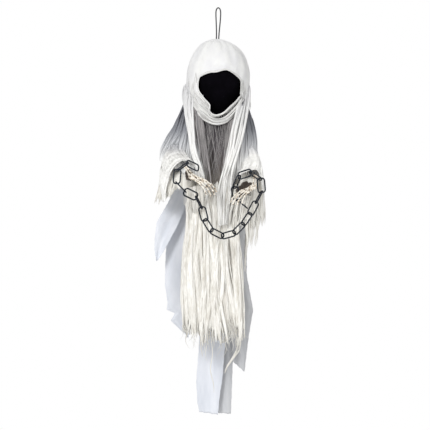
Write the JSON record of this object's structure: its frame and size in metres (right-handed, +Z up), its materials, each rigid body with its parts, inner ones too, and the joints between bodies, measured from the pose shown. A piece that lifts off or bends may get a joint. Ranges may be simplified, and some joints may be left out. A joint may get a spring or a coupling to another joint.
{
  "type": "hanging ghost figure",
  "caption": "Hanging ghost figure with a gauze hood over a black face, torn gauze and nonwoven robe, skeleton hands and a plastic chain between its wrists.",
  "frame": {"origin": "hang point: the inside of the top of the elastic loop", "axes": "+Z up, the figure faces -Y, +X to the right of someone who faces it"},
  "size_m": [0.288, 0.2366, 0.9788],
  "materials": {
    "black_elastic": "matte",
    "white_foam": "matte",
    "black_cloth": "matte",
    "white_gauze": "matte",
    "cream_gauze": "matte",
    "grey_gauze": "matte",
    "nonwoven": "matte",
    "wire": "satin",
    "ivory_plastic": "satin",
    "chain_plastic": "gloss"
  },
  "bodies": {
    "root": {"hanging_loop": "black_elastic", "head_form": "white_foam", "face_cloth": "black_cloth", "hood": "white_gauze", "cowl": "white_gauze", "left_lapel": "white_gauze", "right_lapel": "white_gauze", "neck_post": "wire", "arm_wire": "wire", "back_lining": "grey_gauze", "front_lining": "grey_gauze", "back_gauze": "cream_gauze", "front_gauze": "cream_gauze", "left_sleeve": "cream_gauze", "right_sleeve": "cream_gauze", "left_pointed_strip": "nonwoven", "left_strip": "nonwoven", "right_strip": "nonwoven", "bottom_rear_strip": "nonwoven", "bottom_front_strip": "nonwoven", "left_hand": "ivory_plastic", "right_hand": "ivory_plastic", "chain_link_01": "chain_plastic", "chain_link_02": "chain_plastic", "chain_link_03": "chain_plastic", "chain_link_04": "chain_plastic", "chain_link_05": "chain_plastic", "chain_link_06": "chain_plastic", "chain_link_07": "chain_plastic", "chain_link_08": "chain_plastic", "chain_link_09": "chain_plastic", "chain_link_10": "chain_plastic", "chain_link_11": "chain_plastic", "chain_link_12": "chain_plastic", "chain_link_13": "chain_plastic", "chain_link_14": "chain_plastic", "chain_link_15": "chain_plastic", "chain_link_16": "chain_plastic", "chain_link_17": "chain_plastic", "chain_link_18": "chain_plastic", "chain_link_19": "chain_plastic", "chain_link_20": "chain_plastic"}
  },
  "joints": []
}
